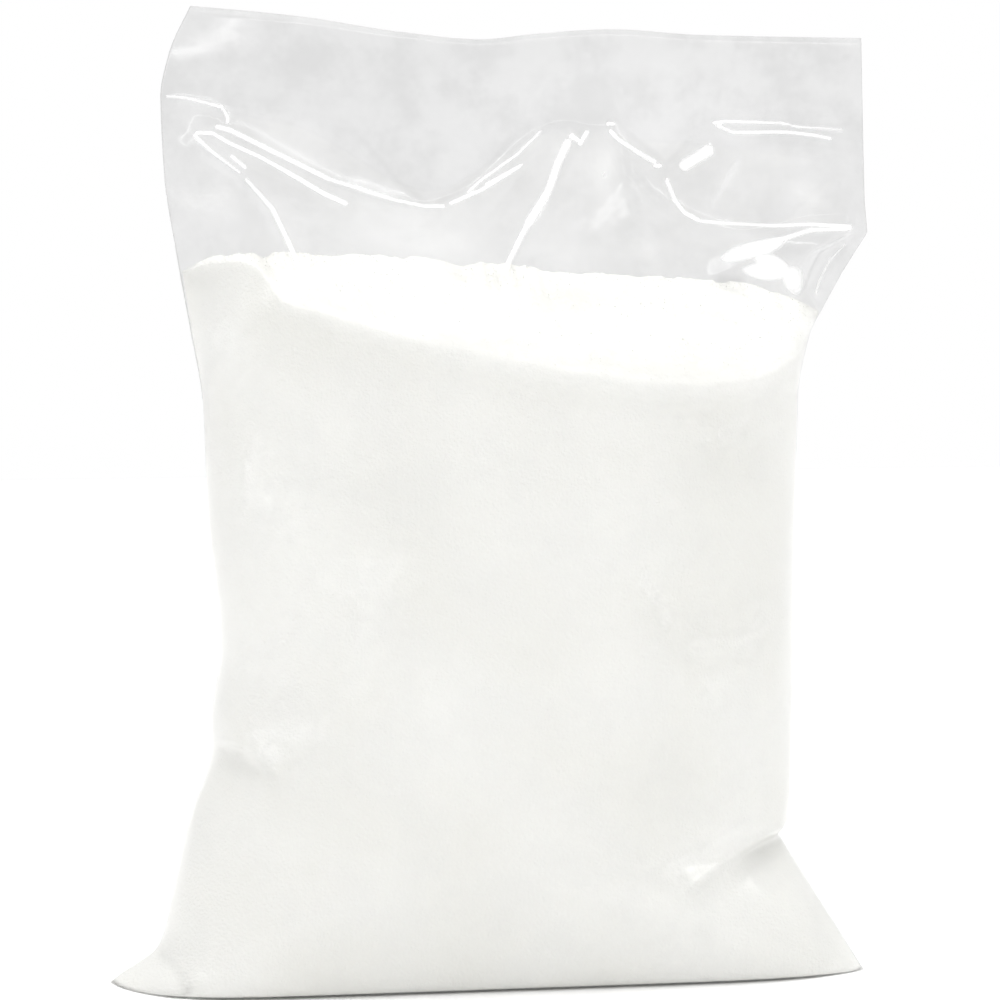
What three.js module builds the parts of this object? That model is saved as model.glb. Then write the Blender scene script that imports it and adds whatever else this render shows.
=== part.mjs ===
// One kilogram of fine curing salt in a clear poly bag, heat-sealed across the top.
// The bag stands by itself: salt fills it out to a pillow, the empty film above the salt
// closes like a tent, and the two sheets run on as a flat flap above the seal.
// Millimetres, +z up, front towards -y, standing on z = 0.

import * as THREE from 'three';

// ---------------------------------------------------------------------------------------
// Driving sizes
// ---------------------------------------------------------------------------------------

const SALT_SHOULDER = 118;     // height up to which salt holds the film out on all sides
const SEAL_HEIGHT = 178;       // nominal height of the seal, where the two sheets are welded
const FLAP_HEIGHT = 17;        // double film above the seal
const TOP_HEIGHT = SEAL_HEIGHT + FLAP_HEIGHT;
const SHEET_THICKNESS = 0.5;   // each of the two sheets in the flap, thick enough to be solid
const EAR_HEIGHT = 28;         // the bottom corners' ears spread over this height
const SEAL_TILT = -0.0465;     // the seal drops this much for each millimetre to the right

// Side edges: height, distance to the side, distance to the back.
const LEFT_EDGE = [
  [0, -79.2, -9], [2, -76.5, -8.5], [4, -73, -8], [6.5, -69.6, -7.5], [10, -67.9, -6.8],
  [20, -65.5, -4.5], [34, -61.8, -1.4], [41, -58.9, 0], [47, -57.4, 0], [53, -57.6, 0],
  [68, -55.4, 0], [98, -57.8, 0], [118, -58.4, 0], [135, -61, 0], [150, -63.5, 0],
  [166, -65.7, 0], [181, -66.2, 0], [190, -64.4, 2], [201, -59.5, 6],
];
const RIGHT_EDGE = [
  [0, 77.5, -19], [6, 74.1, -14.8], [16, 68.4, -7.7], [26.5, 62.4, 0], [30, 65, 0],
  [58, 65.4, 0], [90, 65.2, 0], [121, 65.8, 0], [133, 68.8, 0], [145, 75.3, 0],
  [153.5, 80.6, 0], [160, 79.9, 0], [175, 79.3, 0], [195, 78.6, 0],
];

// The flap's wavy upper edge: distance to the side, height.
const TOP_EDGE = [
  [-66, 200.2], [-38, 197.6], [-17.5, 194.5], [-1, 193], [11, 194.2], [26, 195.1],
  [45, 194], [80, 193.6],
];

// Middle of the front and of the back, as the salt fills them: height, distance to the back.
const FRONT_BULGE = [
  [0, -22.5], [1, -24.5], [3, -26], [8, -28], [25, -31.5], [60, -33], [100, -31.5],
  [128, -28.5], [150, -26], [200, -22],
];
const BACK_BULGE = [
  [0, 24], [1, 25.5], [3, 27], [8, 29], [30, 32], [70, 32.5], [120, 30], [147, 26.5], [200, 20],
];

// The tent over the salt. All four: distance to the side, height (or slope).
const FRONT_PARTING = [
  [-67, 181], [-30, 178.5], [-11, 159.3], [14, 177], [27, 177], [38, 168], [46, 176], [80, 175],
];
const FRONT_KNEE = [
  [-67, 179], [-53, 176], [-38, 167.5], [-26, 162.5], [-11, 159.3], [14, 177], [27, 177],
  [38, 162], [44, 157], [52, 155.3], [80, 154.5],
];
const FRONT_SLOPE = [[-67, 0.92], [-11, 0.98], [5, 0.78], [20, 0.72], [38, 0.8], [80, 0.82]];
const BACK_PARTING = [[-67, 180], [-40, 176], [-11, 162], [14, 174], [46, 172], [80, 168]];
const BACK_SLOPE = 0.95;
const POCKET_SLOPE = 0.17;     // between parting and knee the front sheet opens only a little
const POCKET_DEPTH = 3.5;

// Hips at the two ends of the tent: height, sideways run for each millimetre of depth.
const LEFT_HIP = [[118, 0.02], [135, 0.55], [148, 1.2], [170, 1.9]];
const RIGHT_HIP = [[118, 0.02], [130, 0.3], [148, 0.55], [170, 1.2]];

// At the tent's right end the two sheets lie together as a fin: height, width of the fin.
const RIGHT_FIN = [
  [118, 0], [136, 0], [140.5, 6], [145.5, 7], [150.5, 7.5], [153.5, 5], [157, 2], [170, 0],
];

// Folds in the front sheet. A fold is a crest along a path of (side, height) points that
// falls to nothing over `left` and `right` millimetres on the two sides of that path. Its
// height is positive where the film stands out and negative where it is drawn in.
const TENT_FOLDS = [
  // from the seal's left end to the apex of the V, the fold under it, and the one that runs
  // down into the salt
  { path: [[-54, 176], [-44.4, 170.6], [-32.3, 164.6], [-19, 160.4], [-11, 159]],
    height: 1.1, left: 3, right: 3.5 },
  { path: [[-61, 174.6], [-52.5, 171.9], [-40, 165.5], [-27, 159]], height: 1.5, left: 3.5, right: 3 },
  { path: [[-60.5, 174.3], [-50, 165.6], [-44.5, 159], [-38.5, 144]], height: 1.9, left: 5, right: 3 },
  // the V's right arm, and the long fold from the middle of the seal down into the salt
  { path: [[-12.7, 158.9], [-1.1, 162.4], [7.1, 167.5], [12, 172]], height: 1.1, left: 3.5, right: 3 },
  { path: [[19.5, 176.5], [-2, 143]], height: 1.8, left: 3.5, right: 6 },
  // the small V under the middle of the seal, and the two folds that end at the fin's tip
  { path: [[25.3, 176.5], [27.3, 172.6], [37.2, 167]], height: 1.1, left: 3.5, right: 3 },
  { path: [[39.3, 165.9], [47.8, 171.3]], height: 1.1, left: 3, right: 3 },
  { path: [[37, 167], [39.2, 160.3], [44.5, 155.8], [77.8, 154.9]], height: 0.9, left: 3, right: 3 },
  { path: [[78, 154.6], [61.7, 152.5], [51.6, 150.8], [40, 148]], height: 1.8, left: 4.5, right: 3.5 },
];
const SALT_FOLDS = [
  // the pinch on the left: a lip over a hollow
  { path: [[-60, 51], [-52.5, 50.5], [-48, 49], [-45, 46], [-43, 42.4]], height: 1.8, left: 9, right: 2.6 },
  { path: [[-60, 45.5], [-50, 46], [-46, 42]], height: -1.4, left: 4, right: 7 },
  // the pinch on the right, above the ear
  { path: [[38, 18], [41.5, 19.7], [50, 24], [64, 27.8]], height: 1.9, left: 9, right: 2.6 },
  { path: [[43, 14], [52, 18.5], [64, 22]], height: -1.3, left: 4, right: 9 },
  // two slack hollows on the right half, and the crease at the root of the left ear
  { path: [[27.5, 87], [32, 80], [40, 71.4], [49.7, 71.2], [62, 75]], height: -1.4, left: 12, right: 7 },
  { path: [[38.4, 120.7], [47, 112.3], [57, 115.6]], height: -0.8, left: 9, right: 6 },
  { path: [[-68, 11], [-63, 7.5], [-60, 1]], height: -1, left: 3.5, right: 3.5 },
];
const FOLD_FADE = 0.15;        // share of a fold's length over which each end dies away
const CREST_RADIUS = 0.6;      // crests are rounded

// Mesh: columns across the front (the back has half as many), rows by nominal height.
const FRONT_COLUMNS = 72;
const ROWS = [
  ...[0, 1, 3, 6], ...every(10, 54, 4), ...[55, 61], ...every(69, 118, 9),
  ...every(SALT_SHOULDER, SEAL_HEIGHT - 1, 2.4), ...[SEAL_HEIGHT, 184, 190, TOP_HEIGHT],
];

// ---------------------------------------------------------------------------------------
// Small functions of one or two numbers
// ---------------------------------------------------------------------------------------

function every(first, end, step) {
  return Array.from({ length: Math.ceil((end - first) / step) }, (_, i) => first + i * step);
}

const { clamp, lerp, smoothstep } = THREE.MathUtils;

// Straight lines through a list of knots; `column` picks the value that is wanted.
function through(knots, t, column = 1) {
  const last = knots.length - 1;
  if (t <= knots[0][0]) return knots[0][column];
  if (t >= knots[last][0]) return knots[last][column];
  const i = knots.findIndex((knot) => knot[0] > t) - 1;
  const share = (t - knots[i][0]) / (knots[i + 1][0] - knots[i][0]);
  return lerp(knots[i][column], knots[i + 1][column], share);
}

// A smooth curve through the same kind of list that never overshoots its knots.
function smoothThrough(knots, t, column = 1) {
  const last = knots.length - 1;
  const at = clamp(t, knots[0][0], knots[last][0]);
  const i = Math.min(Math.max(knots.findIndex((knot) => knot[0] > at) - 1, 0), last - 1);
  const start = at >= knots[last][0] ? last - 1 : i;
  const rise = (k) => (knots[k + 1][column] - knots[k][column]) / (knots[k + 1][0] - knots[k][0]);
  const tangent = (k) => {
    if (k === 0) return rise(0);
    if (k === last) return rise(last - 1);
    const before = rise(k - 1);
    const after = rise(k);
    return before * after <= 0 ? 0 : (2 * before * after) / (before + after);
  };
  const span = knots[start + 1][0] - knots[start][0];
  const s = (at - knots[start][0]) / span;
  return (2 * s ** 3 - 3 * s ** 2 + 1) * knots[start][column]
    + (s ** 3 - 2 * s ** 2 + s) * span * tangent(start)
    + (3 * s ** 2 - 2 * s ** 3) * knots[start + 1][column]
    + (s ** 3 - s ** 2) * span * tangent(start + 1);
}

// The lesser of two values, with the corner between them rounded over `blend`.
function softMin(a, b, blend) {
  const share = clamp(0.5 + (0.5 * (b - a)) / blend, 0, 1);
  return lerp(b, a, share) - blend * share * (1 - share);
}

// Zero below zero and t above it, with the corner rounded over `blend`.
function softRamp(t, blend) {
  return 0.5 * (t + Math.sqrt(t * t + blend * blend));
}

// A smooth curve through a list of knots, averaged over `reach` to either side.
function blurred(knots, t, reach) {
  const samples = [-1, -0.5, 0, 0.5, 1].map((step) => smoothThrough(knots, t + reach * step));
  return samples.reduce((sum, value) => sum + value, 0) / samples.length;
}

// ---------------------------------------------------------------------------------------
// The film's shape: across runs from -1 (left edge) to 1 (right edge), row is the
// nominal height
// ---------------------------------------------------------------------------------------

// Rows are level as far as the salt holds the bag out, lean with the seal, and end on the
// flap's wavy edge.
function heightOf(row, side) {
  const seal = SEAL_HEIGHT + SEAL_TILT * side;
  if (row < SEAL_HEIGHT) {
    return row + smoothstep(row, SALT_SHOULDER, SEAL_HEIGHT) * (seal - SEAL_HEIGHT);
  }
  return lerp(seal, smoothThrough(TOP_EDGE, side), (row - SEAL_HEIGHT) / FLAP_HEIGHT);
}

// How far one fold lifts the film at a point of the front.
function foldLift(fold, side, height) {
  const lengths = [];
  for (let i = 1; i < fold.path.length; i += 1) {
    const [a, b] = [fold.path[i - 1], fold.path[i]];
    lengths.push(Math.hypot(b[0] - a[0], b[1] - a[1]));
  }
  const total = lengths.reduce((sum, length) => sum + length, 0);
  let nearest = Infinity;
  let along = 0;
  let onLeft = false;
  let passed = 0;
  lengths.forEach((length, i) => {
    const [a, b] = [fold.path[i], fold.path[i + 1]];
    const [runX, runZ] = [(b[0] - a[0]) / length, (b[1] - a[1]) / length];
    const [dx, dz] = [side - a[0], height - a[1]];
    const t = clamp(dx * runX + dz * runZ, 0, length);
    const distance = Math.hypot(dx - t * runX, dz - t * runZ);
    if (distance < nearest) {
      nearest = distance;
      along = (passed + t) / total;
      onLeft = runX * dz - runZ * dx > 0;
    }
    passed += length;
  });
  const width = onLeft ? fold.left : fold.right;
  const away = (Math.hypot(nearest, CREST_RADIUS) - CREST_RADIUS) / width;
  const ends = clamp(along / FOLD_FADE, 0, 1) * clamp((1 - along) / FOLD_FADE, 0, 1);
  return fold.height * (1 - clamp(away, 0, 1)) ** 2 * ends;
}

function liftOf(folds, side, height) {
  return folds.reduce((sum, fold) => sum + foldLift(fold, side, height), 0);
}

// Depth of the tent, from the sheets' middle plane out to the front or the back sheet. The
// turns of the line at which the tent begins fade out further down.
function tentDepth(row, side, height, left, right, isFront) {
  let slope;
  if (isFront) {
    const pocket = POCKET_SLOPE * softRamp(smoothThrough(FRONT_PARTING, side) - height, 0.8);
    const knee = blurred(FRONT_KNEE, side, 16 * smoothstep(-height, -170, -150));
    slope = softMin(pocket, POCKET_DEPTH, 2)
      + smoothThrough(FRONT_SLOPE, side) * softRamp(knee - height, 1.5);
  } else {
    const parting = blurred(BACK_PARTING, side, 12 * smoothstep(-height, -168, -148));
    slope = BACK_SLOPE * softRamp(parting - height, 1);
  }
  const fin = smoothThrough(RIGHT_FIN, row);
  const fromLeft = (side - left) / smoothThrough(LEFT_HIP, row);
  const fromRight = softRamp(right - fin - side, 0.8) / smoothThrough(RIGHT_HIP, row);
  return Math.max(softMin(softMin(slope, fromLeft, 2), fromRight, 2), 0);
}

// A point of the front or the back sheet.
function filmPoint(across, row, isFront) {
  const [leftHeight, rightHeight] = [heightOf(row, -67), heightOf(row, 76)];
  const left = smoothThrough(LEFT_EDGE, leftHeight);
  const right = through(RIGHT_EDGE, rightHeight);
  const share = (1 + across) / 2;
  const side = lerp(left, right, share);
  const height = heightOf(row, side);

  // the plane between the two sheets: through the ears' tips below, waving in the flap
  const [leftBack, rightBack] = [through(LEFT_EDGE, leftHeight, 2), through(RIGHT_EDGE, rightHeight, 2)];
  const edgePlane = row < SALT_SHOULDER ? lerp(leftBack, rightBack, share)
    : leftBack * Math.max(-across, 0) ** 3;
  const wave = -1.5 * Math.sin(3.2 * across + 0.5) * (1 - across ** 4);
  const middle = edgePlane + smoothstep(row, 165, TOP_HEIGHT) * wave;

  // the section that the salt fills out: an oval that turns into a flat foot with two ears
  const rounding = smoothstep(row, 0, EAR_HEIGHT);
  const fullness = isFront ? lerp(8, 2.5, rounding) : 2.5;
  const point = isFront ? lerp(0.85, 0.5, rounding) : lerp(0.9, 0.5, rounding);
  const section = Math.max(1 - Math.abs(across) ** fullness, 0) ** point;
  const bulge = smoothThrough(isFront ? FRONT_BULGE : BACK_BULGE, row);
  let depth = Math.abs(bulge - middle) * section;

  const closing = smoothstep(row, SALT_SHOULDER - 8, SALT_SHOULDER + 4);
  if (closing > 0) {
    const tent = tentDepth(row, side, height, left, right, isFront);
    depth = lerp(depth, softMin(depth, tent, 5), closing);
  }
  if (isFront) {
    const upper = smoothstep(height, SALT_SHOULDER + 2, SALT_SHOULDER + 17);
    const lift = upper * liftOf(TENT_FOLDS, side, height)
      + (1 - upper) * liftOf(SALT_FOLDS, side, height);
    depth += lift * Math.min(3 * section, 1);
  }
  if (Math.abs(across) < 1) depth = Math.max(depth, SHEET_THICKNESS);
  return new THREE.Vector3(side, isFront ? middle - depth : middle + depth, height);
}

// ---------------------------------------------------------------------------------------
// The closed solid: front sheet, back sheet, flat foot below and narrow top edge above
// ---------------------------------------------------------------------------------------

// Columns stand closer together towards the side edges, where the section turns round.
function acrossAt(column, columns) {
  const even = (2 * column) / columns - 1;
  return 0.5 * (even + Math.sin((Math.PI / 2) * even));
}

function sealedBagGeometry() {
  const positions = [];
  const triangles = [];

  // Both sheets keep the same first and last column, so the side edges close by themselves.
  const vertexOf = new Map();
  const vertex = (column, rowIndex, isFront) => {
    const columns = FRONT_COLUMNS;
    const onEdge = column === 0 || column === columns;
    const key = `${column},${rowIndex},${isFront || onEdge}`;
    if (!vertexOf.has(key)) {
      const point = filmPoint(acrossAt(column, columns), ROWS[rowIndex], isFront || onEdge);
      vertexOf.set(key, positions.length / 3);
      positions.push(point.x, point.y, point.z);
    }
    return vertexOf.get(key);
  };
  const triangle = (a, b, c) => {
    if (a !== b && b !== c && c !== a) triangles.push(a, b, c);
  };

  for (let row = 0; row < ROWS.length - 1; row += 1) {
    for (let column = 0; column < FRONT_COLUMNS; column += 1) {
      const [a, b] = [vertex(column, row, true), vertex(column + 1, row, true)];
      const [c, d] = [vertex(column + 1, row + 1, true), vertex(column, row + 1, true)];
      triangle(a, b, c);
      triangle(a, c, d);
    }
    for (let column = 0; column < FRONT_COLUMNS; column += 2) {
      const [a, b] = [vertex(column, row, false), vertex(column + 2, row, false)];
      const [c, d] = [vertex(column + 2, row + 1, false), vertex(column, row + 1, false)];
      triangle(a, c, b);
      triangle(a, d, c);
    }
  }

  // The foot and the top edge join two front columns to each back column.
  const closeRow = (row, join) => {
    for (let column = 0; column < FRONT_COLUMNS; column += 2) {
      const [f0, f1, f2] = [0, 1, 2].map((step) => vertex(column + step, row, true));
      const [b0, b2] = [vertex(column, row, false), vertex(column + 2, row, false)];
      join(f0, f1, b0);
      join(f1, f2, b2);
      join(f1, b2, b0);
    }
  };
  closeRow(0, (a, b, c) => triangle(a, c, b));
  closeRow(ROWS.length - 1, triangle);

  const geometry = new THREE.BufferGeometry();
  geometry.setAttribute('position', new THREE.Float32BufferAttribute(positions, 3));
  geometry.setIndex(triangles);

  // The origin is the middle of the bag's footprint box, on the surface it stands on.
  geometry.computeBoundingBox();
  const middle = geometry.boundingBox.getCenter(new THREE.Vector3());
  geometry.translate(-middle.x, -middle.y, -geometry.boundingBox.min.z);
  geometry.computeVertexNormals();
  return geometry;
}

const saltInClearFilm = new THREE.MeshStandardMaterial({
  color: 0xf3f3ef,
  roughness: 0.35,
  metalness: 0,
});

const bag = new THREE.Group();
const sealedBag = new THREE.Mesh(sealedBagGeometry(), saltInClearFilm);
sealedBag.name = 'sealed_bag';
bag.add(sealedBag);

export default bag;
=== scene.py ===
"""A kilogram of curing salt in a clear, heat-sealed poly bag that stands by itself.

The shapes are worked out in millimetres in the bag's own numbers, front towards -y, and are
put into the frame in metres at the end. The film is one closed surface, front and back
sheet; the salt is a second one just inside it, with loose grains on top.
"""
import math

import bmesh
import bpy
import numpy as np
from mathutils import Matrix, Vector


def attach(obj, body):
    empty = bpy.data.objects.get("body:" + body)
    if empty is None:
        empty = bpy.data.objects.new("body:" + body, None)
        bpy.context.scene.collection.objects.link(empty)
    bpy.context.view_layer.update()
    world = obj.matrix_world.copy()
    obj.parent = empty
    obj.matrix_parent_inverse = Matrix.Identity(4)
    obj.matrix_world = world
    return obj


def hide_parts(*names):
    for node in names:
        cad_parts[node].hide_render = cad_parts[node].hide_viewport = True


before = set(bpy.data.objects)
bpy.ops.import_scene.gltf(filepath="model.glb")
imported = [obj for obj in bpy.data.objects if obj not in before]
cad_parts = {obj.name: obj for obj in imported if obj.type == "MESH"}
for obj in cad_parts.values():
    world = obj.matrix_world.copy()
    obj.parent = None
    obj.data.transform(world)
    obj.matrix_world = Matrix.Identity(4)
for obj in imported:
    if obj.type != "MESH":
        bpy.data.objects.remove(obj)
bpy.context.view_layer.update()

MM = 0.001
BOX_MIDDLE = (0.69, -0.25)     # middle of the bag's box in the numbers below, mm

# ---------------------------------------------------------------------------------------
# Driving sizes of the bag, mm
# ---------------------------------------------------------------------------------------

LEFT_SIDE, RIGHT_SIDE = -67.0, 76.0     # about where the side edges are
SALT_SHOULDER = 118            # height up to which salt holds the film out on all sides
SALT_TOP = 140.0               # about the height at which the salt leaves the film
SEAL_HEIGHT = 178              # nominal height of the seal
FLAP_HEIGHT = 17               # double film above the seal
TOP_HEIGHT = SEAL_HEIGHT + FLAP_HEIGHT
SHEET_GAP = 0.14               # half the distance between the two sheets where they lie together
EAR_HEIGHT = 28                # the bottom corners' ears spread over this height
SEAL_TILT = -0.0465            # the seal drops this much for each millimetre to the right
FILM_TO_SALT = 0.28            # salt stays this far inside the film

# Side edges: height, distance to the side, distance to the back
LEFT_EDGE = [
    (0, -79.2, -9), (2, -76.5, -8.5), (4, -73, -8), (6.5, -69.6, -7.5), (10, -67.9, -6.8),
    (20, -65.5, -4.5), (34, -61.8, -1.4), (41, -58.9, 0), (47, -57.4, 0), (53, -57.6, 0),
    (68, -55.4, 0), (98, -57.8, 0), (118, -58.4, 0), (135, -61, 0), (150, -63.5, 0),
    (166, -65.7, 0), (181, -66.2, 0), (190, -64.4, 2), (201, -59.5, 6)]
RIGHT_EDGE = [
    (0, 77.5, -19), (6, 74.1, -14.8), (16, 68.4, -7.7), (26.5, 62.4, 0), (30, 65, 0),
    (58, 65.4, 0), (90, 65.2, 0), (121, 65.8, 0), (133, 68.8, 0), (145, 75.3, 0),
    (153.5, 80.6, 0), (160, 79.9, 0), (175, 79.3, 0), (195, 78.6, 0)]
TOP_EDGE = [
    (-66, 200.2), (-38, 197.6), (-17.5, 194.5), (-1, 193), (11, 194.2), (26, 195.1),
    (45, 194), (80, 193.6)]

# Middle of the front and of the back, as the salt fills them: height, distance to the back
FRONT_BULGE = [
    (0, -24.5), (0.7, -26), (2, -27), (8, -28.8), (25, -31.5), (60, -33), (100, -31.5),
    (128, -28.5), (150, -26), (200, -22)]
BACK_BULGE = [
    (0, 24), (1, 25.5), (3, 27), (8, 29), (30, 32), (70, 32.5), (120, 30), (147, 26.5),
    (200, 20)]

# The tent over the salt: distance to the side, height (or slope)
FRONT_PARTING = [
    (-67, 180.5), (-30, 177.5), (-11, 158.3), (14, 176), (27, 176), (37, 166.5), (46, 175.5),
    (80, 174)]
FRONT_KNEE = [
    (-67, 171), (-60, 173), (-53, 173.6), (-38, 166), (-26, 161.2), (-11, 158), (14, 175.5),
    (25.5, 175), (35.5, 160.5), (42, 154.2), (52, 152.6), (80, 151.8)]
FRONT_SLOPE = [(-67, 0.92), (-11, 0.98), (5, 0.78), (20, 0.72), (38, 0.8), (80, 0.82)]
BACK_PARTING = [(-67, 180), (-40, 176), (-11, 162), (14, 174), (46, 172), (80, 168)]
BACK_SLOPE = 0.95
POCKET_SLOPE = 0.17
POCKET_DEPTH = 3.5

# Hips at the two ends of the tent: height, sideways run for each millimetre of depth
LEFT_HIP = [(118, 0.02), (135, 0.55), (148, 1.2), (170, 1.9)]
RIGHT_HIP = [(118, 0.02), (130, 0.3), (148, 0.55), (170, 1.2)]
RIGHT_FIN = [(118, 0), (136, 0), (143, 6), (150.5, 7.5), (153.5, 5), (157, 2), (170, 0)]

# Where the salt leaves the film: distance to the side, height
SALT_FRONT = [
    (-63.5, 145.5), (-57, 148.4), (-51, 149.2), (-47.5, 148), (-45, 144.5), (-42.5, 141.5),
    (-34, 138.8), (-16, 134), (0, 130.3), (20, 126.6), (40, 124.3), (53, 125.2), (65, 130),
    (71.5, 136)]
SALT_BACK = [
    (-63.5, 146), (-57, 145.5), (-48, 147), (-40, 149), (-26, 149), (-11, 147.5), (6, 146.3),
    (28, 143.3), (49, 142.6), (62, 141), (71.5, 136.3)]

# ---------------------------------------------------------------------------------------
# Functions of whole arrays
# ---------------------------------------------------------------------------------------


def through(knots, t, column=1):
    """Straight lines through a list of knots."""
    table = np.array(knots, float)
    return np.interp(t, table[:, 0], table[:, column])


def smooth_through(knots, t, column=1):
    """A cubic through a list of knots whose tangents are harmonic means, so it never overshoots."""
    table = np.array(knots, float)
    x, y = table[:, 0], table[:, column]
    span = np.diff(x)
    rise = np.diff(y) / span
    before, after = rise[:-1], rise[1:]
    total = np.where(before + after == 0, 1, before + after)
    inner = np.where(before * after > 0, 2 * before * after / total, 0)
    tangent = np.concatenate([rise[:1], inner, rise[-1:]])
    t = np.clip(t, x[0], x[-1])
    i = np.clip(np.searchsorted(x, t, side="right") - 1, 0, len(x) - 2)
    s = (t - x[i]) / span[i]
    return ((2 * s**3 - 3 * s**2 + 1) * y[i] + (s**3 - 2 * s**2 + s) * span[i] * tangent[i]
            + (3 * s**2 - 2 * s**3) * y[i + 1] + (s**3 - s**2) * span[i] * tangent[i + 1])


def smoothstep(t, low, high):
    s = np.clip((t - low) / (high - low), 0, 1)
    return s * s * (3 - 2 * s)


def mix(a, b, share):
    return a + (b - a) * share


def soft_min(a, b, blend):
    """The lesser of two values, with the corner between them rounded over blend."""
    share = np.clip(0.5 + 0.5 * (b - a) / blend, 0, 1)
    return mix(b, a, share) - blend * share * (1 - share)


def soft_ramp(t, blend):
    """Zero below zero and t above it, with the corner rounded over blend."""
    return 0.5 * (t + np.sqrt(t * t + blend * blend))


def patches(x, y, size, seed):
    """Smooth random hills between -1 and 1, about size apart: random values on a square
    lattice, joined by cubic steps."""
    values = np.random.default_rng(seed).uniform(-1, 1, (256, 256))
    u, v = np.asarray(x) / size + 128.5, np.asarray(y) / size + 128.5
    i, j = np.floor(u).astype(int), np.floor(v).astype(int)
    s, t = smoothstep(u - i, 0, 1), smoothstep(v - j, 0, 1)
    i, j = i % 255, j % 255
    near, far = mix(values[i, j], values[i + 1, j], s), mix(values[i, j + 1], values[i + 1, j + 1], s)
    return mix(near, far, t)


def beside(side, height, path):
    """Distance from a path of (side, height) points, the share of the path passed at its nearest
    point, and whether that is on the path's left."""
    points = np.array(path, float)
    runs = np.diff(points, axis=0)
    lengths = np.hypot(runs[:, 0], runs[:, 1])
    starts = np.concatenate([[0], np.cumsum(lengths)])
    nearest = np.full(side.shape, np.inf)
    along = np.zeros(side.shape)
    on_left = np.zeros(side.shape, bool)
    for point, run, length, start in zip(points, runs / lengths[:, None], lengths, starts):
        dx, dz = side - point[0], height - point[1]
        t = np.clip(dx * run[0] + dz * run[1], 0, length)
        distance = np.hypot(dx - t * run[0], dz - t * run[1])
        closer = distance < nearest
        along = np.where(closer, (start + t) / starts[-1], along)
        on_left = np.where(closer, run[0] * dz - run[1] * dx > 0, on_left)
        nearest = np.where(closer, distance, nearest)
    return nearest, along, on_left


def crest(side, height, path, lift, left, right, radius, fade, hollow):
    """A fold's lift: (1 - distance / width) to a power from a path of (side, height) points,
    with its own width on either side of the path, a rounded crest and fading ends."""
    nearest, along, on_left = beside(side, height, path)
    away = (np.hypot(nearest, radius) - radius) / np.where(on_left, left, right)
    ends = smoothstep(along, 0, fade) * smoothstep(1 - along, 0, fade)
    return lift * (1 - np.clip(away, 0, 1)) ** hollow * ends


def streak(side, height, path, width, first, last, fade, sharp=False):
    """Strength of a streak, fading at its ends: exp(-(distance / width)^2), or for a sharp
    line 1 - distance / (2 width), which the material cuts off at a half."""
    nearest, along, _ = beside(side, height, path)
    ends = smoothstep(along, 0, fade) * smoothstep(1 - along, 0, fade)
    across = 1 - nearest / (2 * width) if sharp else np.exp(-(nearest / width) ** 2)
    return mix(first, last, along) * ends * np.maximum(across, 0)


# ---------------------------------------------------------------------------------------
# The film's shape: across runs from -1 at the left edge to 1 at the right edge, row is the
# nominal height
# ---------------------------------------------------------------------------------------

# path of (side, height) points, lift, width on the left and on the right of the path, crest
# radius, share of the path over which either end fades, and 1 for flat or 2 for hollow flanks
TENT_FOLDS = [
    # from the seal's left end to the apex of the V, and the fold under it
    ([(-66, 181.2), (-57, 180.2), (-53.5, 178.8), (-52.6, 175.5)], 0.25, 1.1, 2, 0.3, 0.1, 1),
    ([(-54, 176), (-52.4, 174.6), (-44.4, 170.6), (-32.3, 164.6), (-19, 160.4), (-11, 159)],
     0.25, 2.5, 3, 0.8, 0.1, 2),
    ([(-61, 174.6), (-55.8, 173.7), (-52.5, 171.9), (-40, 165.5), (-27, 159)],
     0.7, 3, 2.1, 0.3, 0.06, 1),
    # from the left corner down into the salt
    ([(-60.5, 174.3), (-56, 170), (-50, 165.6), (-44.5, 159), (-41.3, 152), (-38.5, 144)],
     1.1, 5, 1.9, 0.3, 0.1, 1),
    ([(-66, 162.5), (-58.6, 159.4), (-50.3, 161.6)], 0.6, 5, 5, 2, 0.3, 2),
    # the V's right arm
    ([(-12.7, 158.9), (-7.8, 159.4), (-1.1, 162.4), (7.1, 167.5), (12, 172)],
     0.3, 2.5, 1.3, 0.3, 0.15, 1),
    # from the middle of the seal down into the salt
    ([(19.5, 176.5), (-2, 143)], 1.1, 2.1, 5, 0.3, 0.1, 1),
    ([(21, 176), (20, 160)], 0.9, 4, 4, 1.5, 0.5, 2),
    # from the middle of the seal over the small V to the fin's tip
    ([(25.3, 176.5), (27.3, 172.6), (33.2, 169.1), (37.2, 167)], 0.3, 3, 2.5, 0.3, 0.15, 1),
    ([(39.3, 165.9), (47.8, 171.3)], 0.35, 2.6, 2, 0.3, 0.1, 1),
    ([(36.9, 168), (37.5, 165), (39.2, 160.3), (41.1, 157.6), (44.5, 155.8), (50.2, 155.4),
      (67, 155.4), (77.8, 154.9)], 0.2, 2, 2, 0.5, 0.06, 2),
    ([(78, 154.6), (67.4, 154), (61.7, 152.5), (51.6, 150.8), (40, 148)], 1.2, 3.6, 2.5, 0.4, 0.1, 1),
    # the seal's right end
    ([(45.5, 176.3), (61.6, 176.1), (66, 175.4), (78, 174.7)], 0.2, 1, 1.3, 0.2, 0.1, 1),
    ([(46.5, 176.2), (51.6, 174.1), (58.7, 174.2), (68.6, 173.6), (74, 172.6)],
     0.2, 1.2, 1.5, 0.2, 0.1, 1),
    # along the fin
    ([(79, 152.5), (74.5, 147.5), (71.5, 143), (69.5, 139)], 0.6, 2, 2, 0.4, 0.15, 1),
]
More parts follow.
